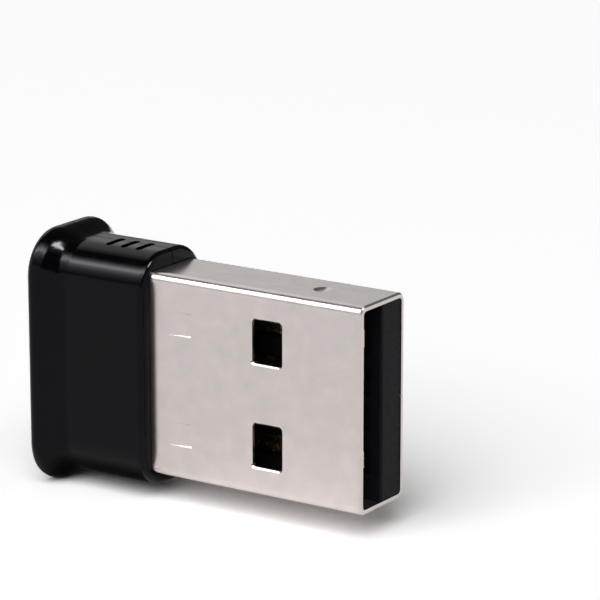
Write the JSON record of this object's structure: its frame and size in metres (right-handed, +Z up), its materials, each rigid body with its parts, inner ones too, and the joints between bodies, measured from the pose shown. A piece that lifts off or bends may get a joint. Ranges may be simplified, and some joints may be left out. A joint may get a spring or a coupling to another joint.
{
  "type": "usb wireless adapter",
  "caption": "Short plug-in wireless adapter: a folded steel USB plug with its contacts, and a glossy black housing that flares into an end flange.",
  "frame": {"origin": "middle of the bounding box's bottom face, under the end flange's lower edge", "axes": "+X out of the plug's mouth, +Y through the thickness to the tongue's side, +Z up across the plug's width"},
  "size_m": [0.022, 0.0078, 0.0152],
  "materials": {
    "plug_steel": "satin nickel plate",
    "insulator_plastic": "matte moulded",
    "contact_gold": "flash gold plate",
    "board_laminate": "satin mask",
    "package_plastic": "fine matte",
    "tinned_metal": "satin tin",
    "crystal_can": "satin",
    "antenna_ceramic": "matte",
    "capacitor_ceramic": "matte",
    "ferrite_ceramic": "matte",
    "housing_plastic": "gloss moulded"
  },
  "bodies": {
    "root": {"plug_shell": "plug_steel", "plug_tongue": "insulator_plastic", "contact_clamp": "insulator_plastic", "contact_power": "contact_gold", "contact_data_minus": "contact_gold", "contact_data_plus": "contact_gold", "contact_ground": "contact_gold", "circuit_board": "board_laminate", "radio_chip": "package_plastic", "radio_pads": "tinned_metal", "memory_chip": "package_plastic", "reference_crystal": "crystal_can", "voltage_regulator": "package_plastic", "regulator_leads": "tinned_metal", "antenna_chip": "antenna_ceramic", "antenna_ends": "tinned_metal", "antenna_filter": "antenna_ceramic", "power_ferrite": "ferrite_ceramic", "capacitors": "capacitor_ceramic", "resistors": "ferrite_ceramic", "contact_solder": "tinned_metal", "shell_solder": "tinned_metal", "housing_front": "housing_plastic", "housing_back": "housing_plastic"}
  },
  "joints": []
}
